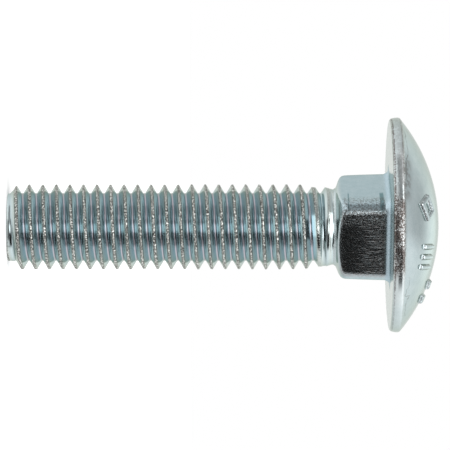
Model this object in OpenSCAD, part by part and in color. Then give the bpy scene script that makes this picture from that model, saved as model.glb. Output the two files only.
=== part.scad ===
// Carriage bolt: low domed head, square neck, short plain shank and a coarse right-hand thread.
// Lengths are in millimetres. The origin is the middle of the flat face under the head, and +Z points
// out of the dome, so the bolt stands on the flat end of its thread.

/* [Head] */
// Diameter of the head
head_d = 19.84; // [17:0.02:22]
// Height of the head, from its flat underside to the top of the dome
head_h = 4.55; // [3.8:0.05:6]
// Radius of the dome
dome_r = 15.3; // [14:0.1:24]
// Radius on the two edges of the rim
rim_edge_r = 0.3; // [0.1:0.05:0.35]
// How far the forged head sits to one side of the shank
head_shift = 0.2; // [0:0.05:0.4]

/* [Square neck] */
// Width across the flats, under the head
neck_w = 7.95; // [7.4:0.05:8.6]
// How much narrower the neck is at its far end
neck_taper = 0.2; // [0:0.05:0.4]
// Height of the neck, with its shoulder
neck_h = 4.9; // [4:0.1:6]
// Radius on the four corners
neck_corner_r = 1; // [0.4:0.1:1.6]
// Height over which the shoulder swells from the shank to the corners
shoulder_run = 0.4; // [0.2:0.05:0.6]
// Radius of the hollow between the neck and the underside of the head
fillet_r = 0.45; // [0.2:0.05:0.8]

/* [Shank] */
// Length from the underside of the head to the end of the thread
bolt_len = 35.2; // [20:0.2:80]
// Diameter of the plain shank, where the blank wasn't rolled
shank_d = 6.96; // [6.8:0.02:7.2]
// Length of the plain shank between the thread and the neck
plain_len = 0.7; // [0.4:0.1:8]

/* [Thread] */
// Diameter over the crests
thread_d = 7.8; // [7.6:0.02:8]
// Height of one turn
pitch = 1.25; // [1:0.05:1.5]
// Width of a crest
crest_w = 0.16; // [0.08:0.02:0.24]
// Width of a root
root_w = 0.19; // [0.1:0.01:0.3]
// Diameter over the last crests, where they come to the shank
last_d = 7.34; // [7.2:0.02:7.8]
// How far before the end of the thread the crests begin to sink to that
fade_len = 2.3; // [1:0.1:4]
// Length over which the groove runs out at the shank
runout_len = 0.6; // [0.4:0.1:1.2]
// Diameter of the flat on the end
end_d = 6.2; // [5:0.1:6.8]
// Height over which the crests swell from the flat end to their full size
lead_len = 0.6; // [0.3:0.1:1.2]
// Turn of the thread about the axis, in degrees
thread_turn = -50; // [-180:5:180]

/* [Hidden] */

flank_angle = 30;
thread_len = bolt_len - neck_h - plain_len;
end_z = -bolt_len;
shank_r = shank_d / 2;
thread_r = thread_d / 2;
root_r = thread_r - (pitch - crest_w - root_w) / 2 / tan(flank_angle);
end_r = end_d / 2;

// How far one solid reaches into the next, and how far it stays under its skin there
lap = 0.3;
sunk = 0.02;

// Columns of facets round the thread, and the least height of a facet
cols = 40;
facet_min = 0.04;
// One turn of the profile: height from the middle of the crest, and radius
profile = [
    [-crest_w / 2, thread_r],
    [crest_w / 2, thread_r],
    [pitch / 2 - root_w / 2, root_r],
    [pitch / 2 + root_w / 2, root_r]
];
lines = len(profile);
thread_top = thread_len + lap;
turns = ceil(thread_top / pitch) + 2;

// Points on each rounded corner and each flat of the neck, and levels up its shoulder
corner_steps = 6;
flat_steps = 6;
levels = 9;
fillet_steps = 5;
shoulder_h = 3.5 * shoulder_run;
corner_reach = (neck_w / 2 - neck_corner_r) * sqrt(2) + neck_corner_r;

$fn = 96;

// Dome: a ball cut by the rim. Its rounded edges touch the ball, the rim and the underside.
dome_z = head_h - dome_r;
rim_x = head_d / 2 - rim_edge_r;
rim_z = dome_z + sqrt(pow(dome_r - rim_edge_r, 2) - pow(rim_x, 2));

module rim_profile() {
    touch = dome_r / (dome_r - rim_edge_r) * 1.05;
    intersection() {
        translate([0, dome_z]) circle(r = dome_r);
        polygon([
            [0, 0], [rim_x, 0], [rim_x, rim_z],
            [rim_x * touch, dome_z + (rim_z - dome_z) * touch], [0, head_h + 1]
        ]);
    }
    translate([0, rim_edge_r]) square([head_d / 2, rim_z - rim_edge_r]);
    translate([rim_x, rim_edge_r]) circle(r = rim_edge_r);
    translate([rim_x, rim_z]) circle(r = rim_edge_r);
}

module head() {
    translate([-head_shift, 0, 0]) rotate_extrude() rim_profile();
}

// Neck: rounded squares stacked up the axis, each held inside the shoulder's round outline. The
// hollow under the head adds the same to the width's half and to the corner's radius.
function neck_width(z) = neck_w - neck_taper * min(1, -z / neck_h);
function shoulder_r(h) = shank_r + (corner_reach - shank_r) * (1 - exp(-h / shoulder_run));
function held(p, r) = norm(p) > r ? p * r / norm(p) : p;
function corner_point(w, s, k, t) =
    let(c = w / 2 - neck_corner_r, r = neck_corner_r + s, a = 90 * (k + t), m = 90 * k + 45)
    [c * sign(cos(m)) + r * cos(a), c * sign(sin(m)) + r * sin(a)];
function flat_point(w, s, k, t) =
    corner_point(w, s, k, 1) * (1 - t) + corner_point(w, s, (k + 1) % 4, 0) * t;
function neck_outline(w, s, r) = [
    for (k = [0:3]) each [
        for (j = [0:corner_steps]) held(corner_point(w, s, k, j / corner_steps), r),
        for (j = [1:flat_steps - 1]) held(flat_point(w, s, k, j / flat_steps), r)
    ]
];

module neck() {
    heights = [for (i = [0:levels]) shoulder_h * pow(i / levels, 1.3)];
    bends = [for (i = [0:fillet_steps]) 90 * i / fillet_steps];
    rings = concat(
        [neck_outline(neck_w, 0, shank_r - lap)],
        [for (h = heights) neck_outline(neck_width(h - neck_h), 0, shoulder_r(h) + sunk)],
        [
            for (b = bends)
                neck_outline(neck_width(fillet_r * (sin(b) - 1)), fillet_r * (1 - cos(b)), head_d)
        ],
        [neck_outline(neck_w, fillet_r, head_d)]
    );
    at = concat(
        [-neck_h - sunk], [for (h = heights) h - neck_h],
        [for (b = bends) fillet_r * (sin(b) - 1)], [lap]
    );
    n = len(rings[0]);
    last = len(rings) - 1;
    polyhedron(
        points = [for (i = [0:last]) each [for (p = rings[i]) [p[0], p[1], at[i]]]],
        faces = concat(
            [[for (j = [0:n - 1]) j]],
            [[for (j = [n - 1:-1:0]) last * n + j]],
            [
                for (i = [0:last - 1])
                    for (j = [0:n - 1])
                        let(a = i * n + j, b = i * n + (j + 1) % n)
                            each [[a, b + n, b], [a, a + n, b + n]]
            ]
        )
    );
}

module shank() {
    translate([0, 0, end_z + thread_len]) cylinder(r = shank_r, h = plain_len + neck_h / 2);
}

// Thread: lines of points wind up the end, one for each corner of the profile. A line starts
// where it leaves the flat end and stops at a ring inside the shank. The last crests are lower,
// and the groove runs out a little before they end.
function ease(t) = let(u = min(1, max(0, t))) u * u * (3 - 2 * u);
function crest_r(z) =
    let(
        s = ease((z - thread_len + fade_len) / fade_len * 2),
        f = ease((z - thread_len) / lap)
    )
    (thread_r - (thread_r - end_r) * exp(-z / lead_len) - (thread_r - last_d / 2) * s) * (1 - f)
        + (shank_r - sunk) * f;
function thread_radius(r, z) =
    let(c = crest_r(z), g = 1 - ease((z - thread_len + runout_len + lap / 2) / runout_len))
    c - max(0, c - root_r) * g * (thread_r - r) / (thread_r - root_r);
function line_z(i, q) =
    pitch * (floor(q / lines) - 1 + i / cols) + profile[q % lines][0];
function line_point(i, q) =
    let(z = line_z(i, q), r = thread_radius(profile[q % lines][1], z), a = 360 * i / cols)
    [r * cos(a), r * sin(a), z];
function ring_point(i, r, z) = [r * cos(360 * i / cols), r * sin(360 * i / cols), z];

// Number of the point on column i and line q: lines below the end or above the shank run together.
function at_line(i, q) =
    i == cols ? at_line(0, q + lines) :
    line_z(i, q) < facet_min ? i :
    line_z(i, q) > thread_top - facet_min ? cols + i :
    2 * cols + q * cols + i;
function real_face(f) = f[0] != f[1] && f[1] != f[2] && f[2] != f[0];

module thread() {
    count = turns * lines;
    points = concat(
        [for (i = [0:cols - 1]) ring_point(i, end_r, 0)],
        [for (i = [0:cols - 1]) ring_point(i, shank_r - sunk, thread_top)],
        [for (q = [0:count - 1]) for (i = [0:cols - 1]) line_point(i, q)]
    );
    faces = [
        for (q = [0:count - 2])
            for (i = [0:cols - 1])
                let(
                    a = at_line(i, q), b = at_line(i + 1, q),
                    c = at_line(i + 1, q + 1), d = at_line(i, q + 1)
                )
                each [for (f = [[a, c, b], [a, d, c]]) if (real_face(f)) f]
    ];
    translate([0, 0, end_z])
        rotate(thread_turn)
            polyhedron(
                points = points,
                faces = concat(
                    [[for (i = [0:cols - 1]) i]],
                    [[for (i = [cols - 1:-1:0]) cols + i]],
                    faces
                )
            );
}

module carriage_bolt() {
    color("lightsteelblue") {
        head();
        neck();
        shank();
        thread();
    }
}

carriage_bolt();
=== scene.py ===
from math import ceil, cos, pi, radians, sin, sqrt, tan

import bpy
import numpy as np
from mathutils import Matrix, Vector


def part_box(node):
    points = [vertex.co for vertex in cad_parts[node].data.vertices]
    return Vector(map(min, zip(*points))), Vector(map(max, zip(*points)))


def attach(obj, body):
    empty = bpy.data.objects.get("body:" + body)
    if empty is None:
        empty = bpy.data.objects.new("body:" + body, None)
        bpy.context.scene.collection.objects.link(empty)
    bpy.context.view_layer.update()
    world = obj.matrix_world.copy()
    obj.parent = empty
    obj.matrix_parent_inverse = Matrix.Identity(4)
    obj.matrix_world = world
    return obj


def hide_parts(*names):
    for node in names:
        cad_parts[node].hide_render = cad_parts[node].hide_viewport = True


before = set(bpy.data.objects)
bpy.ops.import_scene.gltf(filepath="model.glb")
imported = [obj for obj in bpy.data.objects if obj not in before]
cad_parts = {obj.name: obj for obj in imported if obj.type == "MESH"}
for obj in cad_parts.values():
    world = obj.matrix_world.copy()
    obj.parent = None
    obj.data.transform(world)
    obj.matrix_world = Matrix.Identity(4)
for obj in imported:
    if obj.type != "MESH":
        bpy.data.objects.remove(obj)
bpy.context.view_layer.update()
low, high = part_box("carriage_bolt")
mm = 0.001

# What the frame gives: the bolt's length under the head, and the head's size and place
boltLength = -low.z / mm
headHeight = high.z / mm
headRadius = (high.y - low.y) / 2 / mm
headShift = (high.x + low.x) / 2 / mm
print(f"frame: {boltLength:.2f} mm under the head, head {2 * headRadius:.2f} by {headHeight:.2f} mm")


# Camera: level, turned on its side so that the bolt's axis runs across the picture

picture = {
    "scale": 10.82,  # pixels of the photograph for a millimetre, at the axis
    "side": 450,
    "endPixel": 8.1,  # where the flat end of the thread lies across the picture
    "axisPixel": 226.9,  # and the bolt's axis down it
    "distance": 325.0,
    "turn": 25.0,  # of the camera from the neck's front flat, in degrees
    "sensor": 36.0,
}

turn = radians(picture["turn"])
towards = np.array([-sin(turn), -cos(turn), 0])  # from the bolt to the camera
upwards = np.array([-cos(turn), sin(turn), 0])  # the top of the picture
onwards = np.array([0, 0, 1])  # the right of the picture


# Surfaces

def ease(t):
    # smooth step: 3t² - 2t³ with t held between 0 and 1
    t = np.clip(t, 0, 1)
    return t * t * (3 - 2 * t)


def softMin(a, b, width):
    # the lesser of a and b, with the corner between them rounded over a width
    return 0.5 * (a + b - np.sqrt((a - b) ** 2 + width ** 2))


def unevenness(points, size, seed, waves=36):
    # sum of plane waves of about one wavelength in random directions, with a spread of 1
    draw = np.random.default_rng(seed)
    way = draw.normal(size=(3, waves))
    way *= draw.uniform(0.6, 1.6, waves) * 2 * pi / size / np.linalg.norm(way, axis=0)
    return np.cos(points @ way + draw.uniform(0, 2 * pi, waves)).sum(-1) * sqrt(2 / waves)


def between(number, beside):
    # two triangles for each four-sided patch of rows of point numbers; beside is the next column
    a, b, c, d = number[:-1], beside[:-1], beside[1:], number[1:]
    return np.stack([np.stack([a, b, c], -1), np.stack([a, c, d], -1)]).reshape(-1, 3)


def meshFrom(name, points, triangles, marks):
    # points in millimetres, triangles of point numbers, marks: a name and one number for each point
    used, where = np.unique(triangles, return_inverse=True)
    points, triangles = points[used], where.reshape(-1, 3)
    mesh = bpy.data.meshes.new(name)
    mesh.vertices.add(len(points))
    mesh.vertices.foreach_set("co", (points * mm).ravel())
    mesh.loops.add(triangles.size)
    mesh.loops.foreach_set("vertex_index", triangles.ravel())
    mesh.polygons.add(len(triangles))
    mesh.polygons.foreach_set("loop_start", np.arange(0, triangles.size, 3))
    mesh.polygons.foreach_set("use_smooth", np.ones(len(triangles), bool))
    mesh.update(calc_edges=True)
    for key, values in marks.items():
        layer = mesh.attributes.new(key, "FLOAT", "POINT")
        layer.data.foreach_set("value", np.asarray(values, float)[used])
    mesh.validate()
    piece = bpy.data.objects.new(name, mesh)
    bpy.context.scene.collection.objects.link(piece)
    print(f"{name}: {len(points)} points, {len(triangles)} triangles")
    return piece


# The bolt, one surface from the flat end of the thread to the top of the dome

thread = {
    "crestRadius": 3.9,
    "pitch": 1.25,
    "depth": 0.775,
    "crestHalf": 0.08,  # half the width of a crest
    "flankAngle": 31.2,  # a little blunter than the 30 degrees of a new die
    "turn": -50.0,  # of the helix about the axis, in degrees
    "endRadius": 3.1,
    "lead": 0.62,  # height over which the crests swell from the end
    "length": 29.6,
    "past": 0.46,  # how far its surface goes on past that, as plain shank
    "lowCrest": 3.67,  # radius of the last crests, by the shank
    "lowFrom": 27.3,
    "lowOver": 0.9,
    "lowWidening": 0.5,  # 1 leaves their flanks as steep as the others', 0 leaves them as narrow
    "plainFrom": 28.0,  # where the crests lose most of their specks
    "grooveFrom": 28.85,  # where the groove starts to run out
    "grooveOver": 0.6,
    "endingFrom": 29.2,  # where the last crest sinks into the shank
    "endingOver": 0.85,
    "ragged": 0.022,  # how uneven the rolled crests are
}
neck = {
    "width": 7.95,
    "taper": 0.2,
    "height": 4.9,
    "corner": 1.0,
    "cornerGrowth": 0.1,  # how much rounder the corners are at the far end
    "shoulder": 0.32,  # height over which it swells from the shank to the corners
    "shoulderHeight": 1.7,
    "soft": 0.12,  # roundness of the line between the shoulder and the flats
    "fillet": 0.45,
    "shankRadius": 3.48,
    "uneven": 0.001,
}
head = {
    "domeRadius": 15.3,
    "edge": 0.3,
    "lean": (-19.0, 2.0),  # of the rim's bulge, at its lower and its upper edge, in degrees
    "shadedSideAngle": 6.0,  # of the side of the rim with soot and painted shade, below the line to the camera, in degrees
    "uneven": 0.008,
}
grid = {
    "columns": 160,
    "endRings": 8,
    "shoulderRings": 22,
    "neckRings": 26,
    "filletRings": 10,
    "undersideRings": 8,
    "edgeRings": 8,
    "rimRings": 9,
    "domeRings": 64,
}

columns = grid["columns"]
angle = np.arange(columns) * 2 * pi / columns
facing = np.stack([np.cos(angle), np.sin(angle)], -1)
threadTop = -boltLength + thread["length"] + thread["past"]


def crestTop(height):
    # the crests swell from the flat end, and the last ones are lower
    crest = thread["crestRadius"]
    swelling = (crest - thread["endRadius"]) * np.exp(-(np.maximum(height, 0) / thread["lead"]) ** 3)
    sinking = (crest - thread["lowCrest"]) * ease((height - thread["lowFrom"]) / thread["lowOver"])
    ending = ease((height - thread["endingFrom"]) / thread["endingOver"])
    return (crest - swelling - sinking) * (1 - ending) + neck["shankRadius"] * ending


def grooveLeft(height):
    # 1 where the groove has its full depth, 0 where it has run out near the shank
    return 1 - ease((height - thread["grooveFrom"]) / thread["grooveOver"])


def threadRadius(height, share):
    # share is 0 on a crest and 1 in a root
    top = crestTop(height)
    groove = grooveLeft(height)
    root = thread["crestRadius"] - thread["depth"]
    return top - np.maximum(top - root, 0) * share * groove


def threadLines():
    # one turn of the profile: where its lines lie, and how deep each one is, from 0 to 1.
    # Two lines close together at each end of a flank keep the flank itself flat.
    half, depth = thread["pitch"] / 2, thread["depth"]
    slope = 1 / tan(radians(thread["flankAngle"]))
    crest = thread["crestHalf"]
    root = crest + depth / slope
    along = np.array([0, crest - 0.025, crest + 0.005, crest + 0.025, crest + 0.05,
                      root - 0.05, root - 0.025, root + 0.003, half])
    share = np.clip((along - crest) * slope / depth, 0, 1)
    share[2], share[-2] = 0.016, 0.992
    place = np.concatenate([-along[-2:0:-1], along])
    return place, np.concatenate([share[-2:0:-1], share])


def threadSurface():
    # lines wind round the axis: height = pitch * (turn + angle / 360) + the line's own place.
    # Lines below the end or above the thread's top run together into one ring there.
    place, share = threadLines()
    count = len(place)
    top, clear = threadTop + boltLength, 0.02
    turns = ceil(top / thread["pitch"]) + 4
    number = np.arange((turns + 1) * count)[:, None]
    wound = number // count - 2 + (angle - radians(thread["turn"])) / (2 * pi)
    height = thread["pitch"] * wound + place[number % count]
    # the last crests are lower, so they are also wider: the lines at their borders move apart
    lowered = (thread["crestRadius"] - crestTop(height)) * (height > thread["length"] / 2)
    widening = thread["lowWidening"] * lowered * tan(radians(thread["flankAngle"]))
    border = np.sign(place) * (np.abs(place) < thread["crestHalf"] + 0.07)
    height = height + widening * border[number % count]
    deep = share[number % count] + 0 * height
    radius = threadRadius(height, deep)
    points = np.stack([radius * np.cos(angle), radius * np.sin(angle), height - boltLength], -1)
    index = np.arange(height.size).reshape(height.shape)
    index = np.where(height < clear, np.arange(columns) - 2 * columns, index)
    index = np.where(height > top - clear, np.arange(columns) - columns, index)
    beside = np.roll(index, -1, axis=1)
    beside[:-count, -1] = index[count:, 0]
    index, beside = index[:-count], beside[:-count]
    triangles = between(index, beside)
    # near the neck the crests lose their own look, and at both ends of the thread the roots do
    plainer = 0.35 * ease((height - thread["plainFrom"]) / 0.4)
    plainer = plainer + 0.65 * ease((height - thread["endingFrom"] - 0.5) / 0.2)
    sharper = grooveLeft(height + 0.25) * ease((height - 0.7) / 0.3)
    deep = np.where(deep > 0.5, 0.5 + (deep - 0.5) * sharper, deep + (0.5 - deep) * plainer)
    return points.reshape(-1, 3), triangles, deep.ravel()


def neckRadius(turned, half, corner):
    # distance from the axis to a square with rounded corners, by the angle from its nearest flat
    aside = np.abs((turned + pi / 4) % (pi / 2) - pi / 4)
    inner = half - corner
    both = np.cos(aside) + np.sin(aside)
    flat = half / np.cos(aside)
    root = np.sqrt(np.maximum(inner ** 2 * (both ** 2 - 2) + corner ** 2, 0))
    return np.where(half * np.tan(aside) <= inner, flat, inner * both + root)


def ringStack(radius, height, centre=0.0):
    # rings of points round the axis: radius may change with the angle, height with the ring
    radius = np.broadcast_to(radius, (len(height), columns))
    turned = radius[..., None] * facing + [centre, 0]
    level = np.broadcast_to(np.reshape(height, (-1, 1, 1)), (len(height), columns, 1))
    return np.concatenate([turned, level], -1)


def neckRings():
    # shoulder: the corners die into the shank along a round swelling, then the flats, then the fillet
    shank, tall, soft = neck["shankRadius"], neck["height"], neck["soft"]
    reach = (neck["width"] / 2 - neck["corner"]) * sqrt(2) + neck["corner"]
    plain = np.linspace(threadTop, -tall - soft, 6)[1:]
    shoulder = -tall - soft + neck["shoulderHeight"] * np.linspace(0, 1, grid["shoulderRings"]) ** 1.4
    flats = np.linspace(shoulder[-1], -neck["fillet"], grid["neckRings"])[1:]
    bend = np.linspace(0, pi / 2, grid["filletRings"])[1:]
    curve = neck["fillet"] * (np.sin(bend) - 1)
    height = np.concatenate([plain, shoulder, flats, curve])
    spread = np.concatenate([np.zeros(len(height) - len(bend)), neck["fillet"] * (1 - np.cos(bend))])
    climb = height + tall
    climb = 0.5 * (climb + np.sqrt(climb ** 2 + soft ** 2))
    limit = shank + (reach - shank) * (1 - np.exp(-climb / neck["shoulder"])) - 0.02
    limit = np.where(height > -neck["fillet"], 3 * reach, limit)
    half = (neck["width"] - neck["taper"] * np.minimum(1, -height / tall)) / 2
    corner = neck["corner"] + neck["cornerGrowth"] * ease(-height / tall) + spread
    square = neckRadius(angle, (half + spread)[:, None], corner[:, None])
    radius = np.where(limit[:, None] > 2 * reach, square, softMin(square, limit[:, None], soft))
    onNeck = ease((height + tall - 0.1) / 0.4)
    inHollow = ease((height + neck["fillet"] + 0.05) / 0.1)
    return ringStack(radius, height), np.repeat(onNeck, columns), np.repeat(inHollow, columns)


def headRings():
    # underside, rounded lower edge, rim, rounded upper edge, and a ball's cap to the top
    edge, dome = head["edge"], head["domeRadius"]
    domeZ = headHeight - dome
    rimX = headRadius - edge
    rimZ = domeZ + sqrt((dome - edge) ** 2 - rimX ** 2)
    touch = np.arcsin(rimX / (dome - edge))
    first = neckRings()[0][-1]
    leanLow, leanHigh = np.radians(head["lean"])
    rise = rimZ - edge + edge * (sin(leanHigh) - sin(leanLow))
    run = -rise * tan((leanLow + leanHigh) / 2)
    lowX = rimX + edge * (cos(leanHigh) - cos(leanLow)) - run
    bulge = sqrt(rise ** 2 + run ** 2) / 2 / sin((leanHigh - leanLow) / 2)
    last = ringStack(lowX, np.zeros(1), headShift)[0]
    share = np.linspace(0, 1, grid["undersideRings"] + 1)[1:, None, None]
    under = first * (1 - share) + last * share
    lower = np.linspace(-pi / 2, leanLow, grid["edgeRings"])[1:]
    upper = np.linspace(leanHigh, pi / 2 - touch, grid["edgeRings"])
    middle = np.linspace(leanLow, leanHigh, grid["rimRings"])[1:-1]
    cap = touch * (1 - np.linspace(0, 1, grid["domeRings"] + 1))[1:-1]
    radius = np.concatenate([
        lowX + edge * np.cos(lower), lowX + edge * cos(leanLow) + bulge * (np.cos(middle) - cos(leanLow)),
        rimX + edge * np.cos(upper), dome * np.sin(cap)
    ])
    height = np.concatenate([
        edge + edge * np.sin(lower), edge + edge * sin(leanLow) + bulge * (np.sin(middle) - sin(leanLow)),
        rimZ + edge * np.sin(upper), domeZ + dome * np.cos(cap)
    ])
    rings = ringStack(radius[:, None], height, headShift)
    # soot and painted shade lie on the rim's front, the side towards the camera, and less along its two
    # borders, and hardly on its low side
    onRim = ease((height + 0.02) / 0.1) * (1 - ease((height - rimZ - 0.28) / 0.08))
    border = ease((np.abs(height - (edge + rimZ) / 2) - 0.3) / 0.15)
    shadedWay = cos(radians(head["shadedSideAngle"])) * towards - sin(radians(head["shadedSideAngle"])) * upwards
    front = ease((facing @ shadedWay[:2] - 0.92) / 0.035)
    front = front * (1 - 0.6 * ease((height[:, None] - 1.12) / 0.1))
    lessOnLowSide = 1 - 0.8 * ease((-facing @ upwards[:2] - 0.42) / 0.15)
    onRim = onRim[:, None] * (0.25 + 0.75 * np.maximum(front, 0.6 * border[:, None])) * lessOnLowSide
    onRim = np.concatenate([np.zeros(len(under) * columns), onRim.ravel()])
    onDome = np.repeat(np.concatenate([np.zeros(len(under)), ease((height - rimZ - 0.2) / 0.1)]), columns)
    reach = np.repeat(np.concatenate([np.zeros(len(under)), radius]), columns)
    return np.concatenate([under, rings]), onRim, onDome, reach


def buildBolt():
    # in order: rings of the flat end, the thread's lines, rings up to the dome, a point at each end
    helix, triangles, deep = threadSurface()
    endRadius = thread["endRadius"] * np.linspace(0, 1, grid["endRings"] + 1)[1:, None]
    ends = ringStack(endRadius, np.full(grid["endRings"], -boltLength))
    join = ringStack(neck["shankRadius"], np.array([threadTop]))
    neckPart, onNeck, inHollow = neckRings()
    headPart, onRim, onDome, reach = headRings()
    upper = np.concatenate([join, neckPart, headPart])
    bottom, top = [[0, 0, -boltLength]], [[headShift, 0, headHeight]]
    points = np.concatenate([ends.reshape(-1, 3), helix, upper.reshape(-1, 3), bottom, top])
    endNumber = np.arange(ends.size // 3).reshape(-1, columns)
    upperNumber = endNumber.size + len(helix) + np.arange(upper.size // 3).reshape(-1, columns)
    # the thread's lines run into the last ring of the end and the first ring above the thread
    rings = np.concatenate([endNumber[-1], upperNumber[0]])
    below = triangles < 0
    triangles = np.where(below, rings[np.where(below, triangles, -1)], triangles + endNumber.size)
    low, high = endNumber[0], upperNumber[-1]
    poleLow, poleHigh = np.full_like(low, len(points) - 2), np.full_like(high, len(points) - 1)
    triangles = np.concatenate([
        triangles, between(endNumber, np.roll(endNumber, -1, axis=1)),
        between(upperNumber, np.roll(upperNumber, -1, axis=1)),
        np.stack([poleLow, np.roll(low, -1), low], -1),
        np.stack([poleHigh, high, np.roll(high, -1)], -1)
    ])
    a, b, c = triangles.T
    triangles = triangles[(a != b) & (b != c) & (c != a)]

    def mark(helixPart, neckShare, headShare, topShare):
        parts = [np.zeros(endNumber.size), helixPart, np.zeros(columns), neckShare, headShare, [0, topShare]]
        return np.concatenate(parts)

    none, plainNeck, plainHead = 0 * deep, 0 * onNeck, 0 * onRim
    front = np.tile(ease((-facing[:, 1] - 0.7) / 0.1), len(neckPart))
    corner = np.tile(np.maximum(facing @ [-sqrt(0.5), -sqrt(0.5)], 0), len(neckPart))
    marks = {
        "thread": mark(none + 1, plainNeck, plainHead, 0),
        "deep": mark(deep, plainNeck + 0.5, plainHead + 0.5, 0.5),
        "neck": mark(none, onNeck, plainHead, 0),
        # the struck flat is the one towards the camera; its darker colour is painted shade, its scratches
        # and grain are the forging's own
        "struckAndShaded": mark(none, (onNeck - inHollow) * front, plainHead, 0),
        "corner": mark(none, (onNeck - inHollow) * corner, plainHead, 0),
        "hollow": mark(none, inHollow, plainHead, 0),
        "rim": mark(none, plainNeck, onRim, 0),
        "dome": mark(none, plainNeck, onDome, 1),
        "reach": mark(none, plainNeck, reach, 0),
    }
    # forging and rolling leave the surface a little uneven; the flat faces at both ends stay true
    outward = points * [1, 1, 0]
    outward /= np.maximum(np.linalg.norm(outward, axis=1, keepdims=True), 1e-6)
    onCrest = marks["thread"] * (1 - ease(marks["deep"] / 0.04))
    ragged = thread["ragged"] * onCrest * unevenness(points, 0.35, 3)
    rough = neck["uneven"] * marks["neck"] * unevenness(points * [1, 1, 0.5], 1.3, 5)
    rough += head["uneven"] * marks["rim"] * unevenness(points, 1.1, 7)
    points = points + outward * np.minimum(ragged + rough, 0.03)[:, None]
    return meshFrom("forged_bolt", points, triangles, marks)


bolt = buildBolt()

# Three plain raised marks on the dome, each a thin patch lying on it

stamp = {
    "raised": 0.3,
    "sunk": 0.03,
    "depth": 0.3,
    "line": 0.21,  # half the width of a raised line
    "steps": 60,
    "half": 1.9,  # half the size of a patch
    "place": 6.4,  # distance of the marks from the head's axis
}
# each mark: its name, its angle about the axis from the camera's side, and its form
markPlaces = [("lozenge_mark", 14, "lozenge"), ("bars_mark", -27, "bars"), ("studs_mark", -72, "studs")]


def formDistance(form, out, sideways):
    # distance to the nearest raised line, less half the line's width
    if form == "bars":
        along, across = 0.91 * out + 0.42 * sideways, 0.91 * sideways - 0.42 * out
        line = np.abs((across + 0.47) % 0.94 - 0.47) - stamp["line"]
        return np.maximum(line, np.maximum(np.abs(along) - 1.15, np.abs(across) - 1.3))
    lozenge = (np.abs(out) / 1.5 + np.abs(sideways) / 1.2) * 0.94
    if form == "lozenge":
        return np.abs(lozenge - 0.78) - stamp["line"]
    apart = np.abs(out) - 0.75
    return np.abs(apart) + np.abs(sideways) * 0.6 - 0.5


def buildMark(name, about, form):
    # the patch follows the ball of the dome: top and bottom sheets, joined round the border
    steps = stamp["steps"]
    side = np.linspace(-stamp["half"], stamp["half"], steps)
    out, sideways = np.meshgrid(side, side, indexing="ij")
    dome = head["domeRadius"]
    lean, about = np.arcsin(stamp["place"] / dome), radians(about)
    outwardWay = cos(about) * towards + sin(about) * upwards
    roundWay = -sin(about) * towards + cos(about) * upwards
    middle = outwardWay * np.sin(lean) + onwards * np.cos(lean)
    downWay = outwardWay * np.cos(lean) - onwards * np.sin(lean)
    way = dome * middle + out[..., None] * downWay + sideways[..., None] * roundWay
    way /= np.linalg.norm(way, axis=-1, keepdims=True)
    share = ease((0.12 - formDistance(form, out, sideways)) / 0.24)
    lift = share * (stamp["raised"] + stamp["sunk"]) - stamp["sunk"]
    centre = np.array([headShift, 0, headHeight - dome])
    top = centre + way * (dome + lift)[..., None]
    bottom = centre + way * (dome - stamp["depth"])
    number = np.arange(steps * steps).reshape(steps, steps)
    sheet = between(number[:, :-1], number[:, 1:])
    border = [number[0, :-1], number[:-1, -1], number[-1, :0:-1], number[:0:-1, 0]]
    border = np.concatenate(border)
    wall = np.stack([border + number.size, border])
    wall = between(wall, np.roll(wall, -1, axis=1))
    triangles = np.concatenate([sheet, sheet[:, ::-1] + number.size, wall])
    points = np.concatenate([top.reshape(-1, 3), bottom.reshape(-1, 3)])
    edge = np.concatenate([(1 - np.abs(2 * share - 1)).ravel(), 0 * share.ravel()])
    flat = 0 * edge
    marks = {"dome": flat + 1, "edge": edge, "deep": flat + 0.5}
    return meshFrom(name, points, triangles, marks)


# Shader maths

class Wire:
    # a socket that adds, multiplies and compares as a number does
    def __init__(self, tree, socket):
        self.tree, self.socket = tree, socket

    def maths(self, operation, *terms):
        return addNode(self.tree, "ShaderNodeMath", {"operation": operation}, dict(enumerate(terms)))

    def __add__(self, other):
        return self.maths("ADD", self, other)

    def __sub__(self, other):
        return self.maths("SUBTRACT", self, other)

    def __rsub__(self, other):
        return self.maths("SUBTRACT", other, self)

    def __mul__(self, other):
        return self.maths("MULTIPLY", self, other)

    __radd__, __rmul__ = __add__, __mul__

    def near(self, middle, inner, outer):
        # 1 up to inner from the middle, on both sides of it, and 0 from outer
        off = self - middle
        return 1 - off.maths("ABSOLUTE", off).within(inner, outer)

    def within(self, start, end):
        # 0 up to start, 1 from end, and a smooth step between them
        settings = {"interpolation_type": "SMOOTHSTEP"}
        values = {"Value": self, "From Min": start, "From Max": end}
        return addNode(self.tree, "ShaderNodeMapRange", settings, values)


def addNode(tree, kind, settings, values, output=0):
    # settings come first, because they decide which sockets a node has
    node = tree.nodes.new(kind)
    for key, value in settings.items():
        setattr(node, key, value)
    for key, value in values.items():
        socket = node.inputs[key]
        if isinstance(value, Wire):
            tree.links.new(value.socket, socket)
        else:
            socket.default_value = value
    return Wire(tree, node.outputs[output]) if len(node.outputs) else node


def mixColour(tree, share, first, second):
    inputs = {0: share, 6: first, 7: second}
    return addNode(tree, "ShaderNodeMix", {"data_type": "RGBA"}, inputs, 2)


def noise(tree, where, scale, detail, roughness):
    values = {"Vector": where, "Scale": scale, "Detail": detail, "Roughness": roughness}
    return addNode(tree, "ShaderNodeTexNoise", {}, values)


def dotProduct(tree, vector, direction):
    values = {0: vector, 1: tuple(direction)}
    return addNode(tree, "ShaderNodeVectorMath", {"operation": "DOT_PRODUCT"}, values, 1)


def newMaterial(name):
    material = bpy.data.materials.new(name)
    material.use_nodes = True
    material.node_tree.nodes.clear()
    return material, material.node_tree


# Finish

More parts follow.
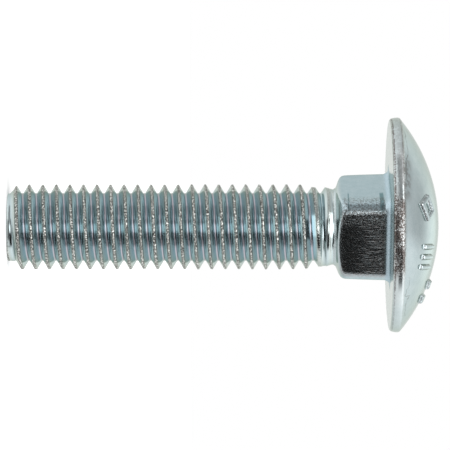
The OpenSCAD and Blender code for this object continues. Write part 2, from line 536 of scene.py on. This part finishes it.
plating = {
    "ridge": (0.54, 0.60, 0.58, 1),  # the flank by the crest
    "flank": (0.475, 0.59, 0.635, 1),
    "root": (0.41, 0.37, 0.42, 1),
    "crest": (0.37, 0.38, 0.36, 1),
    "glint": (0.72, 0.73, 0.71, 1),
    "speck": (0.12, 0.115, 0.11, 1),
    "shank": (0.56, 0.64, 0.655, 1),
    "neck": (0.45, 0.565, 0.61, 1),
    "hollow": (0.53, 0.66, 0.73, 1),
    "dome": (0.49, 0.57, 0.59, 1),
    "rim": (0.55, 0.57, 0.57, 1),
    # the rim's soot, and the painted shade on its side towards the camera
    "sootAndShade": (0.10, 0.075, 0.065, 1),
    "struckAndShaded": (0.34, 0.34, 0.34, 1),
    "die": (0.18, 0.29, 0.32, 1),
    "pale": (0.85, 0.88, 0.88, 1),
    "grazing": (0.68, 0.72, 0.67, 1),  # what is left of the light at a glancing angle
    "roughness": 0.14,
    "rimRoughness": 0.2,
    "hollowRoughness": 0.45,
}
texture = {
    # scale, detail and roughness of each noise
    "grain": (7000.0, 2.0, 0.5),
    "scratch": (12000.0, 2.0, 0.5),
    "blotch": (1600.0, 4.0, 0.65),
    "fleck": (8200.0, 1.0, 0.5),
    "fold": (420.0, 4.0, 0.55),
    "drawn": 0.07,  # the scratches' scale along the bolt, beside the scale across it
    "bump": 0.00004,  # metres for a height of 1
    "bumpStrength": 0.8,
}
# marks across the neck's corner, in metres: height, half width, where it has faded, strength
dieMarks = [(-0.00387, 0.00003, 0.00008, 0.9), (-0.00083, 0.00016, 0.0002, 1.0)]
# dark lines along the rim, in metres: height, half width, where it has faded
rimLines = [(0.00017, 0.00003, 0.0001), (0.00147, 0.00004, 0.00012)]


def forgingFold(reach, winding, aside):
    # a thin fold runs on the dome just inside the rim, over two short ways
    wander = reach + winding * 2.4
    folds = aside.within(4.2, 4.8) - aside.within(8.4, 8.9)
    folds = folds + (aside.within(-8.3, -7.8) - aside.within(-4.9, -4.4)) * 0.6
    return wander.near(10.7, 0.01, 0.08) * folds


def zincPlating():
    material, tree = newMaterial("zinc_plating")
    where = addNode(tree, "ShaderNodeTexCoord", {}, {}, 3)
    names = ["thread", "deep", "neck", "struckAndShaded", "corner", "hollow", "rim", "dome", "edge", "reach"]
    zone = {name: addNode(tree, "ShaderNodeAttribute", {"attribute_name": name}, {}, 2) for name in names}
    onThread, deep, onNeck, rim = zone["thread"], zone["deep"], zone["neck"], zone["rim"]
    dome, edge, struckAndShaded, hollow = zone["dome"], zone["edge"], zone["struckAndShaded"], zone["hollow"]
    crest, root = onThread * (1 - deep.within(0.12, 0.2)), onThread * deep.within(0.98, 0.995)
    corner = zone["corner"].within(0.93, 0.98)
    aside = dotProduct(tree, where, upwards / mm)
    level = addNode(tree, "ShaderNodeSeparateXYZ", {}, {0: where}, 2)

    grain = noise(tree, where, *texture["grain"])
    stretch = {0: where, 1: (1, 1, texture["drawn"])}
    drawn = addNode(tree, "ShaderNodeVectorMath", {"operation": "MULTIPLY"}, stretch)
    scratch = noise(tree, drawn, *texture["scratch"])
    blotch = noise(tree, where, *texture["blotch"])
    fleck = noise(tree, where, *texture["fleck"])
    winding = noise(tree, where, *texture["fold"])

    # mottled soot on the rim, and painted shade: the rim attribute is strongest on the side towards the
    # camera
    sootAndShade = (grain * 0.5 + blotch * 0.5).within(0.42, 0.53) * rim
    die = sum(level.near(at, half, gone) * strong for at, half, gone, strong in dieMarks)
    die = zone["corner"].within(0.84, 0.9) * (1 - struckAndShaded) * die
    line = sum(level.near(*rimLine) for rimLine in rimLines)
    line = line * zone["reach"].within(9.5, 9.6) * grain.within(0.36, 0.52)
    line = line * (0.4 + 0.6 * aside.within(-7, -5))
    # painted light: two stretches of the rim are painted paler, and the dome is darker in a mottled patch
    # beside the upper one
    paintedLightOnRim = aside.near(5.3, 0.9, 2.3) * level.within(0.0004, 0.0008) + aside.near(-5.6, 0.9, 2.2) * 0.4
    paintedLightOnRim = paintedLightOnRim * zone["reach"].within(9.5, 9.6) * (1 - dome)
    front = dotProduct(tree, where, towards / mm).within(0, 1) * dome
    # the dome is darker in a mottled patch on its front, beside the upper pale stretch of the rim
    darkerPatch = aside.near(4.4, 1.0, 2.9) * zone["reach"].within(8.6, 9.5) * front
    darkerPatch = darkerPatch * (0.25 + 0.45 * blotch.within(0.42, 0.58))
    dapple = (blotch - 0.5) * (onNeck * 0.5 + dome * 0.5)
    flank = mixColour(tree, deep.within(0.1, 0.8), plating["ridge"], plating["flank"])
    colour = mixColour(tree, onThread, plating["shank"], flank)
    # each layer covers the ones before it by its share
    layers = [
        ("neck", onNeck), ("hollow", hollow), ("dome", dome), ("rim", rim), ("pale", paintedLightOnRim * 0.65),
        ("root", root * 0.8), ("crest", crest),
        # painted shade: the flat towards the camera is painted darker, with grain
        ("struckAndShaded", struckAndShaded * (0.55 + 0.45 * grain.within(0.35, 0.6))),
        ("glint", (1 - fleck.within(0.39, 0.44)) * crest),
        ("speck", fleck.within(0.53, 0.59) * crest * 0.85),
        ("sootAndShade", sootAndShade * 0.85),
        # painted shade and painted highlights on the raised marks' slopes, specked by grain
        ("speck", edge * grain.within(0.4, 0.5) * 0.9),
        ("pale", edge * (1 - grain.within(0.36, 0.44)) * 0.9),
        ("speck", darkerPatch), ("speck", forgingFold(zone["reach"], winding, aside) * front * 0.7),
        ("die", die),
        ("speck", corner * grain.within(0.42, 0.6) * 0.6),
        ("sootAndShade", line * 0.75),
        ("pale", dapple.maths("MAXIMUM", dapple, 0)),
        ("die", dapple.maths("MAXIMUM", 0 - dapple, 0)),
    ]
    for name, share in layers:
        colour = mixColour(tree, share, colour, plating[name])

    plain = plating["roughness"]
    roughness = plain + rim * (plating["rimRoughness"] - plain)
    roughness = roughness + hollow * (plating["hollowRoughness"] - plain)
    height = grain * (rim * 1.5 + edge + onNeck * 0.1 + struckAndShaded * 0.5 + corner * 0.6)
    height = height + fleck * crest * 2.6 + blotch * (rim * 1.1 + onNeck * 0.05)
    height = height + scratch * struckAndShaded * (0.2 + 0.6 * level.within(-0.004, -0.0015))
    bump = {"Height": height, "Distance": texture["bump"], "Strength": texture["bumpStrength"]}
    surface = addNode(tree, "ShaderNodeBsdfPrincipled", {}, {
        "Base Color": colour, "Metallic": 1.0, "Roughness": roughness,
        "Normal": addNode(tree, "ShaderNodeBump", {}, bump), "Specular Tint": plating["grazing"]
    })
    addNode(tree, "ShaderNodeOutputMaterial", {}, {"Surface": surface})
    return material


zinc = zincPlating()
pieces = [bolt] + [buildMark(*place) for place in markPlaces]
for piece in pieces:
    piece.data.materials.append(zinc)
    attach(piece, "root")
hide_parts("carriage_bolt")
print("finish: zinc plating")


def placeCamera():
    middle = picture["side"] / 2
    along = -boltLength + (middle - picture["endPixel"]) / picture["scale"]
    above = (picture["axisPixel"] - middle) / picture["scale"]
    place = (towards * picture["distance"] + onwards * along + upwards * above) * mm
    width = picture["side"] / picture["scale"]
    data = bpy.data.cameras.new("camera")
    data.sensor_width = picture["sensor"]
    data.lens = picture["sensor"] * picture["distance"] / width
    data.clip_start, data.clip_end = 0.01, 20
    camera = bpy.data.objects.new("camera", data)
    bpy.context.scene.collection.objects.link(camera)
    turned = Matrix(np.stack([onwards, upwards, towards], -1).tolist()).to_4x4()
    turned.translation = place.tolist()
    camera.matrix_world = turned
    bpy.context.scene.camera = camera
    bpy.context.scene.view_settings.view_transform = "Standard"


placeCamera()
print("camera placed")


# Studio: a white tent round the bolt, open and dark round the camera

studio = {
    "level": 1.02,
    "fall": -0.12,  # change from the level towards the top of the picture
    "rightFall": -0.6,  # the same, on the right of the picture
    "floorSide": 3.0,
}
# each patch: middle and half width up the picture, the same across it, its soft edges up and
# across, all in degrees, and its brightness
patches = [
    ("front", 43, 36, 0, 17, 12, 4, 0.44),
    ("left", -12, 38, -32, 16, 14, 6, 0.1),
    ("below", -42, 27, 4, 17, 22, 6, 0.02),
    ("ring", -3, 14, 11, 10.5, 12, 5, 2.3),
    ("key", 6, 40, 41, 18, 8, 5, 2.5),
    ("behind", 158, 14, 32, 14, 20, 16, 1.12),
    ("far", 185, 12, 40, 16, 16, 16, 1.6),
    ("dim", 176, 20, 60, 14, 24, 24, 0.72),
    ("low", 212, 16, 45, 30, 20, 24, 1.22),
]


def studioLight():
    world = bpy.data.worlds.new("studio")
    bpy.context.scene.world = world
    world.use_nodes = True
    tree = world.node_tree
    tree.nodes.clear()
    ray = addNode(tree, "ShaderNodeTexCoord", {}, {}, 0)
    forward, up, side = [dotProduct(tree, ray, way) for way in (towards, upwards, onwards)]
    # from -90 degrees in front of the bolt and below it, over the top, to 270
    rise = up.maths("ARCTAN2", up, forward) * (180 / pi) + 90
    rise = rise.maths("FLOORED_MODULO", rise, 360) - 90
    across = side.maths("ARCSINE", side) * (180 / pi)
    level = studio["level"] + up * studio["fall"] + up * side * studio["rightFall"]
    for name, riseAt, riseHalf, acrossAt, acrossHalf, riseSoft, acrossSoft, bright in patches:
        share = rise.near(riseAt, riseHalf - riseSoft / 2, riseHalf + riseSoft / 2)
        share = share * across.near(acrossAt, acrossHalf - acrossSoft / 2, acrossHalf + acrossSoft / 2)
        level = (1 - share) * level + share * bright
    seen = addNode(tree, "ShaderNodeLightPath", {}, {}, 0)
    level = seen + (1 - seen) * level
    shine = addNode(tree, "ShaderNodeBackground", {}, {"Color": (1, 1, 1, 1), "Strength": level})
    addNode(tree, "ShaderNodeOutputWorld", {}, {"Surface": shine})


def layFloor():
    half = studio["floorSide"] / 2
    mesh = bpy.data.meshes.new("floor")
    corners = [(-half, -half, low.z), (half, -half, low.z), (half, half, low.z), (-half, half, low.z)]
    mesh.from_pydata(corners, [], [(0, 1, 2, 3)])
    floor = bpy.data.objects.new("floor", mesh)
    bpy.context.scene.collection.objects.link(floor)
    material, tree = newMaterial("pale_floor")
    seen = addNode(tree, "ShaderNodeLightPath", {}, {}, 0)
    surface = addNode(tree, "ShaderNodeBsdfPrincipled", {}, {
        "Base Color": (0.86, 0.86, 0.86, 1), "Roughness": 0.9, "Specular IOR Level": 0.0,
        "Emission Color": mixColour(tree, seen, (0, 0, 0, 1), (0.25, 0.25, 0.25, 1)),
        "Emission Strength": 1.0
    })
    addNode(tree, "ShaderNodeOutputMaterial", {}, {"Surface": surface})
    mesh.materials.append(material)
    floor.visible_glossy = False


studioLight()
layFloor()
print("studio lit")
